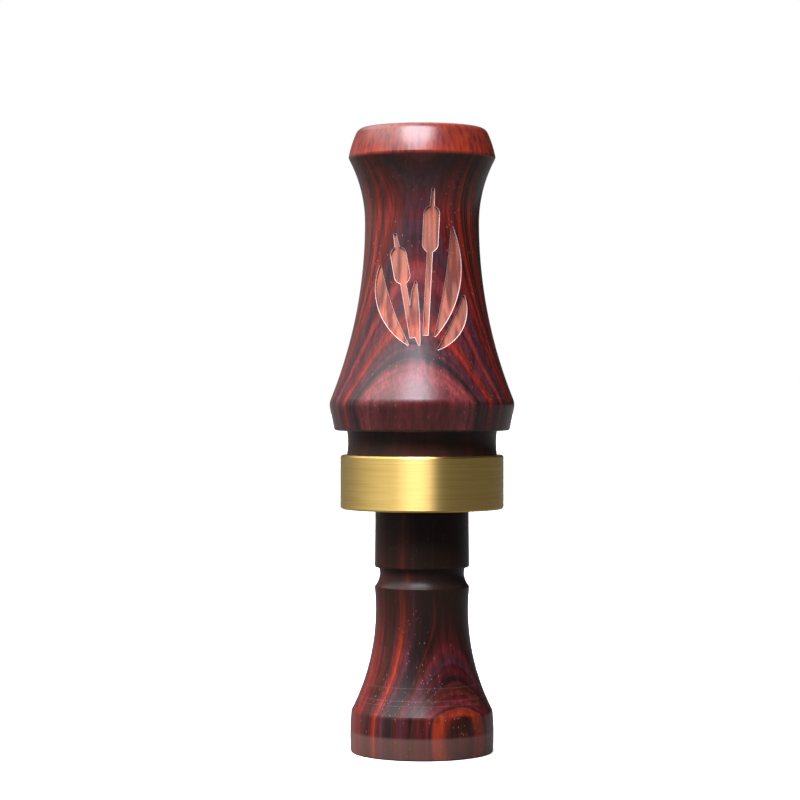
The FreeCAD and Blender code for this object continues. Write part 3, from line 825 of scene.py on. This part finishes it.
@dataclass(frozen=True)
class CastAcrylic:
    """Black cast acrylic rod, cut, sanded and buffed: deep black with fine sanding haze."""

    name: str = "cast_acrylic"
    colour: str = "#0b0b0d"
    haze: str = "#1c1c20"
    roughness: float = 0.16
    sanding_mm: float = 0.25

    def build(self) -> bpy.types.Material:
        """Builds the material.

        Returns:
            The finished material.
        """
        material, tree, shader = new_material(self.name)
        place = add_node(tree, "ShaderNodeTexCoord").outputs["Object"]
        squash = {"Vector": place, "Scale": (1 / MM, 1 / MM, 0.05 / MM)}
        strokes = add_node(tree, "ShaderNodeMapping", squash).outputs[0]
        scratch = {"Vector": strokes, "Scale": 1 / self.sanding_mm, "Detail": 3.0}
        lines = add_node(tree, "ShaderNodeTexNoise", scratch).outputs[0]
        tones = [(0.45, linear(self.colour)), (0.75, linear(self.haze))]
        colour = add_node(tree, "ShaderNodeValToRGB", {0: lines}, stops=tones).outputs[0]
        level = {"Value": lines, "To Min": self.roughness * 0.6, "To Max": self.roughness * 1.8}
        rough = add_node(tree, "ShaderNodeMapRange", level).outputs[0]
        bump = {"Height": lines, "Strength": 0.15, "Distance": 0.01 * MM}
        shader.inputs["IOR"].default_value = 1.49
        tree.links.new(colour, shader.inputs["Base Color"])
        tree.links.new(rough, shader.inputs["Roughness"])
        tree.links.new(add_node(tree, "ShaderNodeBump", bump).outputs[0], shader.inputs["Normal"])
        return material


@dataclass(frozen=True)
class PolyesterFilm:
    """Frosted polyester drafting film: milky, a little see-through, with a matte tooth."""

    name: str = "polyester_film"
    colour: str = "#e4e8e6"
    haze: str = "#d3d9d8"
    roughness: float = 0.42
    tooth_mm: float = 0.12
    haze_mm: float = 6.0

    def build(self) -> bpy.types.Material:
        """Builds the material.

        Returns:
            The finished material.
        """
        material, tree, shader = new_material(self.name)
        place = add_node(tree, "ShaderNodeTexCoord").outputs["Object"]
        grit = {"Vector": place, "Scale": 1 / (self.tooth_mm * MM), "Detail": 2.0}
        tooth = add_node(tree, "ShaderNodeTexNoise", grit).outputs[0]
        level = {"Value": tooth, "To Min": self.roughness - 0.1, "To Max": self.roughness + 0.12}
        rough = add_node(tree, "ShaderNodeMapRange", level).outputs[0]
        patches = {"Vector": place, "Scale": 1 / (self.haze_mm * MM), "Detail": 2.0}
        cloud = add_node(tree, "ShaderNodeTexNoise", patches).outputs[0]
        tones = [(0.3, linear(self.haze)), (0.7, linear(self.colour))]
        colour = add_node(tree, "ShaderNodeValToRGB", {0: cloud}, stops=tones).outputs[0]
        bump = {"Height": tooth, "Strength": 0.2, "Distance": 0.01 * MM}
        shader.inputs["IOR"].default_value = 1.6
        shader.inputs["Transmission Weight"].default_value = 0.35
        tree.links.new(colour, shader.inputs["Base Color"])
        tree.links.new(rough, shader.inputs["Roughness"])
        tree.links.new(add_node(tree, "ShaderNodeBump", bump).outputs[0], shader.inputs["Normal"])
        return material


@dataclass(frozen=True)
class CutCork:
    """Natural cork cut with a knife: warm tan cells, dark lenticel flecks and open pits."""

    name: str = "cut_cork"
    light: str = "#c99a68"
    dark: str = "#8d5f38"
    fleck: str = "#4a2c18"
    cell_mm: float = 0.45
    cloud_mm: float = 2.2
    fleck_mm: float = 1.3

    def build(self) -> bpy.types.Material:
        """Builds the material.

        Returns:
            The finished material.
        """
        material, tree, shader = new_material(self.name)
        place = add_node(tree, "ShaderNodeTexCoord").outputs["Object"]
        grain = {"Vector": place, "Scale": 1 / (self.cloud_mm * MM), "Detail": 5.0}
        grain["Roughness"] = 0.65
        cloud = add_node(tree, "ShaderNodeTexNoise", grain).outputs[0]
        tones = [(0.35, linear(self.dark)), (0.65, linear(self.light))]
        base = add_node(tree, "ShaderNodeValToRGB", {0: cloud}, stops=tones).outputs[0]
        cells = {"Vector": place, "Scale": 1 / (self.cell_mm * MM)}
        cell = add_node(tree, "ShaderNodeTexVoronoi", cells).outputs["Distance"]
        spots = {"Vector": place, "Scale": 1 / (self.fleck_mm * MM), "Detail": 2.0}
        spot = add_node(tree, "ShaderNodeTexNoise", spots).outputs[0]
        share = {"Value": spot, "From Min": 0.6, "From Max": 0.68}
        fleck = add_node(tree, "ShaderNodeMapRange", share).outputs[0]
        inputs = {0: fleck, 6: base, 7: linear(self.fleck)}
        colour = add_node(tree, "ShaderNodeMix", inputs, data_type="RGBA").outputs[2]
        dips = {0: fleck, 1: -1.5, 2: cell}
        height = add_node(tree, "ShaderNodeMath", dips, operation="MULTIPLY_ADD").outputs[0]
        bump = {"Height": height, "Strength": 0.6, "Distance": 0.12 * MM}
        shader.inputs["Roughness"].default_value = 0.85
        tree.links.new(colour, shader.inputs["Base Color"])
        tree.links.new(add_node(tree, "ShaderNodeBump", bump).outputs[0], shader.inputs["Normal"])
        return material


@dataclass(frozen=True)
class NitrileRubber:
    """Moulded nitrile O-ring rubber: soft black with a film of grease and a faint bloom."""

    name: str = "nitrile_rubber"
    colour: str = "#111111"
    bloom: str = "#2a2a2b"
    bloom_mm: float = 1.1
    roughness: float = 0.4

    def build(self) -> bpy.types.Material:
        """Builds the material.

        Returns:
            The finished material.
        """
        material, tree, shader = new_material(self.name)
        place = add_node(tree, "ShaderNodeTexCoord").outputs["Object"]
        dust = {"Vector": place, "Scale": 1 / (self.bloom_mm * MM), "Detail": 4.0, "Roughness": 0.7}
        cloud = add_node(tree, "ShaderNodeTexNoise", dust).outputs[0]
        tones = [(0.45, linear(self.colour)), (0.8, linear(self.bloom))]
        colour = add_node(tree, "ShaderNodeValToRGB", {0: cloud}, stops=tones).outputs[0]
        level = {"Value": cloud, "To Min": self.roughness - 0.15, "To Max": self.roughness + 0.2}
        rough = add_node(tree, "ShaderNodeMapRange", level).outputs[0]
        bump = {"Height": cloud, "Strength": 0.2, "Distance": 0.02 * MM}
        tree.links.new(colour, shader.inputs["Base Color"])
        tree.links.new(rough, shader.inputs["Roughness"])
        tree.links.new(add_node(tree, "ShaderNodeBump", bump).outputs[0], shader.inputs["Normal"])
        return material


# ------------------------------------------------------------------------------------------
# Sub-assemblies
# ------------------------------------------------------------------------------------------
@dataclass
class Barrel:
    """The mouthpiece tube of cocobolo, with its engraved rushes and its brass band."""

    wood: Cocobolo = field(
        default_factory=lambda: Cocobolo(
            name="lacquered_cocobolo_barrel",
            layers=(
                (-24.0, Tone.WINE),
                (-15.0, Tone.RED),
                (-11.0, Tone.BLACK),
                (-9.5, Tone.RED),
                (-4.0, Tone.WINE),
                (-1.5, Tone.RED),
                (1.0, Tone.WINE),
                (3.0, Tone.BROWN),
                (4.6, Tone.RED),
                (6.4, Tone.BROWN),
                (7.4, Tone.RED),
                (8.6, Tone.WINE),
                (9.8, Tone.RED),
                (10.3, Tone.WINE),
                (10.6, Tone.PURPLE),
                (11.3, Tone.PURPLE),
                (12.0, Tone.WINE),
                (12.7, Tone.ROSE),
                (13.3, Tone.WINE),
                (14.1, Tone.PURPLE),
                (14.8, Tone.WINE),
                (15.4, Tone.RED),
                (16.1, Tone.WINE),
                (16.8, Tone.PURPLE),
                (17.3, Tone.PURPLE),
                (17.7, Tone.CHARCOAL),
                (17.95, Tone.CHARCOAL),
                (18.6, Tone.ROSE),
                (20.4, Tone.ROSE),
                (21.2, Tone.WINE),
            ),
            facing_deg=-5.0,
            ring_radius_mm=200.0,
            lean=-0.1,
            front_streaks=0.3,
            seed=3.1,
            # Painted shade: the groove under the belly, the cone under the belly edge and the flare
            # under the lip.
            painted_shade_zones_mm=((68.9, 68.3, 0.35), (75.5, 73.5, 0.72), (114.0, 124.0, 0.5)),
            glowing_lip_mm=126.6,
            engraving=Engraving(),
        )
    )
    brass: TurnedBrass = field(default_factory=TurnedBrass)

    def dress(self, nodes: dict[str, bpy.types.Object]) -> None:
        """Gives the barrel and the band their finishes.

        Args:
            nodes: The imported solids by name.
        """
        wear(nodes["barrel"], self.wood.build())
        wear(nodes["band"], self.brass.build())
        LOG.info("barrel and band dressed")


@dataclass
class Insert:
    """The flared cocobolo stopper and the acrylic toneboard glued into it."""

    wood: Cocobolo = field(
        default_factory=lambda: Cocobolo(
            name="lacquered_cocobolo_insert",
            layers=(
                (-16.0, Tone.WINE),
                (-9.0, Tone.BROWN),
                (-3.0, Tone.WINE),
                (0.5, Tone.RED),
                (2.2, Tone.WINE),
                (3.3, Tone.BROWN),
                (4.5, Tone.BROWN),
                (5.3, Tone.WINE),
                (5.9, Tone.RED),
                (6.15, Tone.ORANGE),
                (6.35, Tone.RED),
                (7.0, Tone.WINE),
                (7.7, Tone.PURPLE),
                (8.4, Tone.CHARCOAL),
                (9.3, Tone.CHARCOAL),
                (9.9, Tone.BROWN),
                (10.4, Tone.WINE),
                (10.9, Tone.PURPLE),
                (11.5, Tone.WINE),
                (12.1, Tone.CHARCOAL),
                (12.7, Tone.BROWN),
                (13.3, Tone.WINE),
                (13.8, Tone.WINE),
                (14.05, Tone.CHARCOAL),
                (14.3, Tone.RED),
                (14.55, Tone.ORANGE),
                (14.8, Tone.RED),
                (15.05, Tone.BROWN),
            ),
            facing_deg=32.0,
            ring_radius_mm=49.0,
            wobble_mm=0.35,
            streaks=0.4,
            lacquer=0.42,
            # Painted shade: the shank and cove in the band's shadow.
            painted_shade_zones_mm=((20.0, 36.0, 0.35),),
            seed=11.7,
            # Dust and painted glare below this height.
            dust_and_glare_below_mm=4.6,
            turning_marks_mm=(11.2, 12.2, 14.8),
        )
    )
    acrylic: CastAcrylic = field(default_factory=CastAcrylic)

    def dress(self, nodes: dict[str, bpy.types.Object]) -> None:
        """Gives the insert and the toneboard their finishes.

        Args:
            nodes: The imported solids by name.
        """
        wear(nodes["insert"], self.wood.build())
        wear(nodes["toneboard"], self.acrylic.build())
        LOG.info("insert and toneboard dressed")


@dataclass
class Seals:
    """The two O-rings on the toneboard."""

    rubber: NitrileRubber = field(default_factory=NitrileRubber)

    def dress(self, nodes: dict[str, bpy.types.Object]) -> None:
        """Gives both O-rings their finish.

        Args:
            nodes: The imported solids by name.
        """
        rubber = self.rubber.build()
        for name in ("o_ring_lower", "o_ring_upper"):
            wear(nodes[name], rubber)
        LOG.info("O-rings dressed")


@dataclass
class Reed:
    """The film reed: one strip for its clamped and its vibrating solid, rounded at the tip."""

    film: PolyesterFilm = field(default_factory=PolyesterFilm)
    corner_mm: float = 3.2
    edge_mm: float = 0.06
    bend_start_mm: float = 77.9
    bend_end_mm: float = 92.0
    rows: int = 60

    def build(self) -> bpy.types.Object:
        """Builds the straight strip, cut into rows along its length.

        Returns:
            The reed.
        """
        butt_low, butt_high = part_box("reed_butt")
        _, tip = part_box("reed_blade")
        low, high = Vector(butt_low), Vector((butt_high[0], butt_high[1], tip[2]))
        shape = bmesh.new()
        bmesh.ops.create_cube(shape, size=1.0)
        bmesh.ops.scale(shape, vec=high - low, verts=shape.verts)
        bmesh.ops.translate(shape, vec=(low + high) / 2, verts=shape.verts)
        corners = [e for e in shape.edges if self._is_tip_corner(e, high.z)]
        self._bevel(shape, corners, self.corner_mm * MM, 8)
        sharp = [e for e in shape.edges if e.calc_face_angle(0.0) > math.radians(60)]
        self._bevel(shape, sharp, self.edge_mm * MM, 2)
        for row in range(1, self.rows):
            height = low.z + (high.z - low.z) * row / self.rows
            bmesh.ops.bisect_plane(
                shape,
                geom=shape.verts[:] + shape.edges[:] + shape.faces[:],
                plane_co=(0, 0, height),
                plane_no=(0, 0, 1),
            )
        reed = finish_mesh("reed", shape)
        wear(reed, self.film.build())
        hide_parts("reed_butt", "reed_blade")
        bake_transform(reed)
        LOG.info("reed built")
        return reed

    @staticmethod
    def _is_tip_corner(edge: bmesh.types.BMEdge, top: float) -> bool:
        """Whether an edge is one of the two square corners at the reed's tip."""
        a, b = (v.co for v in edge.verts)
        return abs(a.y - b.y) > HAIR and abs(a.z - top) < HAIR and abs(b.z - top) < HAIR

    @staticmethod
    def _bevel(shape: bmesh.types.BMesh, edges: list, width: float, segments: int) -> None:
        """Rounds edges with an even profile.

        Args:
            shape: The mesh being built.
            edges: The edges to round.
            width: How far the rounding reaches from each edge.
            segments: How many faces it is made of.
        """
        bmesh.ops.bevel(
            shape,
            geom=edges,
            offset=width,
            offset_type="OFFSET",
            segments=segments,
            profile=0.5,
            affect="EDGES",
            material=-1,
        )


@dataclass
class Wedge:
    """The cork wedge: knife-cut faces, front corners trimmed to the bore, and open pits."""

    cork: CutCork = field(default_factory=CutCork)
    bore_trim_mm: float = 7.43
    cuts: int = 32
    pit_mm: float = 0.22
    pit_spacing_mm: float = 1.5
    solid_below: float = 0.15

    def build(self) -> bpy.types.Object:
        """Builds the wedge inside its solid's box.

        Returns:
            The wedge.
        """
        low, high = (Vector(corner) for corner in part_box("wedge"))
        shape = bmesh.new()
        bmesh.ops.create_cube(shape, size=1.0)
        bmesh.ops.scale(shape, vec=high - low, verts=shape.verts)
        bmesh.ops.translate(shape, vec=(low + high) / 2, verts=shape.verts)
        bmesh.ops.subdivide_edges(
            shape,
            edges=shape.edges[:],
            cuts=self.cuts,
            use_grid_fill=True,
        )
        middle = (low + high) / 2
        for vertex in shape.verts:
            self._trim(vertex)
            self._pit(vertex, middle)
        wedge = finish_mesh("cork_wedge", shape)
        wear(wedge, self.cork.build())
        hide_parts("wedge")
        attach(wedge, "wedge")
        LOG.info("wedge built")
        return wedge

    def _trim(self, vertex: bmesh.types.BMVert) -> None:
        """Pulls a point of the front corners back inside the bore.

        Args:
            vertex: The point.
        """
        radius = math.hypot(vertex.co.x, vertex.co.y)
        limit = self.bore_trim_mm * MM
        if radius > limit:
            vertex.co.x *= limit / radius
            vertex.co.y *= limit / radius

    def _pit(self, vertex: bmesh.types.BMVert, middle: Vector) -> None:
        """Sinks a point a little towards the middle where the cork is open.

        Args:
            vertex: The point.
            middle: The wedge's middle.
        """
        value = noise.fractal(vertex.co / (self.pit_spacing_mm * MM), 0.6, 2.0, 3)
        depth = max(0.0, value - self.solid_below) * self.pit_mm * MM
        inwards = (middle - vertex.co).normalized()
        vertex.co += inwards * min(depth, self.pit_mm * MM)


@dataclass
class Studio:
    """A pale floor, a bright back and left, a large soft light in front, and the camera."""

    distance: float = 0.516
    eye_height: float = 0.0782
    aside: float = -0.0047
    lens_mm: float = 108.7
    down_deg: float = 0.356
    floor_size: float = 12.0
    floor_tone: str = "#f6f6f6"
    floor_bounce: str = "#484848"
    key_azimuth_deg: float = -10.0
    key_elevation_deg: float = 54.0
    key_distance: float = 0.45
    key_width: float = 0.32
    key_height: float = 0.29
    key_radiance: float = 16.5
    key_colour: tuple[float, float, float] = (0.98, 0.96, 1.06)
    back_elevation_deg: float = 60.0
    back_strength: float = 4.5
    level_share: float = 0.4
    high_share: float = 3.2

    def build(self) -> None:
        """Builds the floor, the lights and the camera."""
        self._camera()
        floor = self._floor()
        self._key_light()
        self._back_light(floor)
        self._surroundings()
        bpy.context.scene.view_settings.view_transform = "Standard"
        LOG.info("studio built")

    def _camera(self) -> None:
        """Puts the camera level with the neck's foot, looking a touch down."""
        data = bpy.data.cameras.new("camera")
        data.lens = self.lens_mm
        camera = bpy.data.objects.new("camera", data)
        camera.location = (self.aside, -self.distance, self.eye_height)
        camera.rotation_euler = (math.radians(90 - self.down_deg), 0, 0)
        bpy.context.scene.collection.objects.link(camera)
        bpy.context.scene.camera = camera

    def _floor(self) -> bpy.types.Object:
        """Lays the pale floor, which throws only a little light back up at the call."""
        shape = bmesh.new()
        bmesh.ops.create_grid(shape, x_segments=1, y_segments=1, size=self.floor_size / 2)
        floor = finish_mesh("floor", shape)
        material, tree, shader = new_material("pale_card")
        seen = add_node(tree, "ShaderNodeLightPath").outputs["Is Camera Ray"]
        tones = {0: seen, 6: linear(self.floor_bounce), 7: linear(self.floor_tone)}
        colour = add_node(tree, "ShaderNodeMix", tones, data_type="RGBA").outputs[2]
        tree.links.new(colour, shader.inputs["Base Color"])
        shader.inputs["Roughness"].default_value = 0.9
        wear(floor, material)
        return floor

    def _key_light(self) -> None:
        """Hangs the large softbox in front, a little left and above."""
        azimuth = math.radians(self.key_azimuth_deg)
        elevation = math.radians(self.key_elevation_deg)
        back = Vector(
            (
                math.sin(azimuth) * math.cos(elevation),
                -math.cos(azimuth) * math.cos(elevation),
                math.sin(elevation),
            )
        )
        data = bpy.data.lights.new("softbox", "AREA")
        data.shape = "ELLIPSE"
        data.size, data.size_y = self.key_width, self.key_height
        area = math.pi / 4 * self.key_width * self.key_height
        data.energy = self.key_radiance * math.pi * area
        data.color = self.key_colour
        light = bpy.data.objects.new("softbox", data)
        light.location = Vector((0, 0, self.eye_height)) + back * self.key_distance
        light.rotation_euler = back.to_track_quat("Z", "Y").to_euler()
        bpy.context.scene.collection.objects.link(light)

    def _back_light(self, floor: bpy.types.Object) -> None:
        """Lights the whole floor, and only that, evenly from high behind.

        Args:
            floor: The floor.
        """
        data = bpy.data.lights.new("tent_back", "SUN")
        data.energy = self.back_strength
        data.angle = math.radians(90)
        light = bpy.data.objects.new("tent_back", data)
        light.rotation_euler = (math.radians(-(90 - self.back_elevation_deg)), 0, 0)
        bpy.context.scene.collection.objects.link(light)
        lit = bpy.data.collections.new("lit_from_behind")
        lit.objects.link(floor)
        light.light_linking.receiver_collection = lit

    def _surroundings(self) -> None:
        """Sets the room: white behind, a white card on the left and dim in front and right."""
        world = bpy.data.worlds.new("studio")
        bpy.context.scene.world = world
        world.use_nodes = True
        tree = world.node_tree
        tree.nodes.clear()
        direction = add_node(tree, "ShaderNodeTexCoord").outputs["Generated"]
        split = add_node(tree, "ShaderNodeSeparateXYZ", {0: direction}).outputs
        turned = {0: split["X"], 1: split["Y"]}
        angle = add_node(tree, "ShaderNodeMath", turned, operation="ARCTAN2").outputs[0]
        share = {"Value": angle, "From Min": -math.pi, "From Max": math.pi}
        place = add_node(tree, "ShaderNodeMapRange", share).outputs[0]
        stops = [(self._turn(deg), (grey, grey, grey, 1.0)) for deg, grey in self._ring()]
        around = add_node(tree, "ShaderNodeValToRGB", {0: place}, stops=stops).outputs[0]
        rise = {
            "Value": split["Z"],
            "From Min": 0.42,
            "From Max": 0.62,
            "To Min": self.level_share,
            "To Max": self.high_share,
        }
        gain = add_node(tree, "ShaderNodeMapRange", rise).outputs[0]
        lift = {0: around, "Scale": gain}
        lit = add_node(tree, "ShaderNodeVectorMath", lift, operation="SCALE").outputs[0]
        to_camera = add_node(tree, "ShaderNodeLightPath").outputs["Is Camera Ray"]
        inputs = {0: to_camera, 6: lit, 7: (1.0, 1.0, 1.0, 1.0)}
        colour = add_node(tree, "ShaderNodeMix", inputs, data_type="RGBA").outputs[2]
        shown = add_node(tree, "ShaderNodeBackground", {"Color": colour}).outputs[0]
        add_node(tree, "ShaderNodeOutputWorld", {"Surface": shown})

    @staticmethod
    def _turn(bearing_deg: float) -> float:
        """Place on the ramp for a bearing, counted from the back, positive to the right."""
        return 0.5 + bearing_deg / 360

    @staticmethod
    def _ring() -> list[tuple[float, float]]:
        """Brightness round the room by bearing from the back: negative is left, 180 is front."""
        return [
            (-180.0, 0.05),
            (-152.0, 0.1),
            (-146.0, 1.2),
            (-115.0, 1.4),
            (-96.0, 1.25),
            (-58.0, 0.95),
            (-38.0, 0.6),
            (-20.0, 0.45),
            (8.0, 0.45),
            (20.0, 0.05),
            (90.0, 0.04),
            (180.0, 0.05),
        ]


def main() -> None:
    """Loads the frame, dresses and builds every piece, and sets up the studio."""
    logging.basicConfig(level=logging.INFO, format="%(name)s: %(message)s")
    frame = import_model()
    nodes = frame["nodes"]
    for assembly in (Barrel(), Insert(), Seals()):
        assembly.dress(nodes)
    for assembly in (Reed(), Wedge()):
        assembly.build()
    Studio().build()


if __name__ == "__main__":
    main()
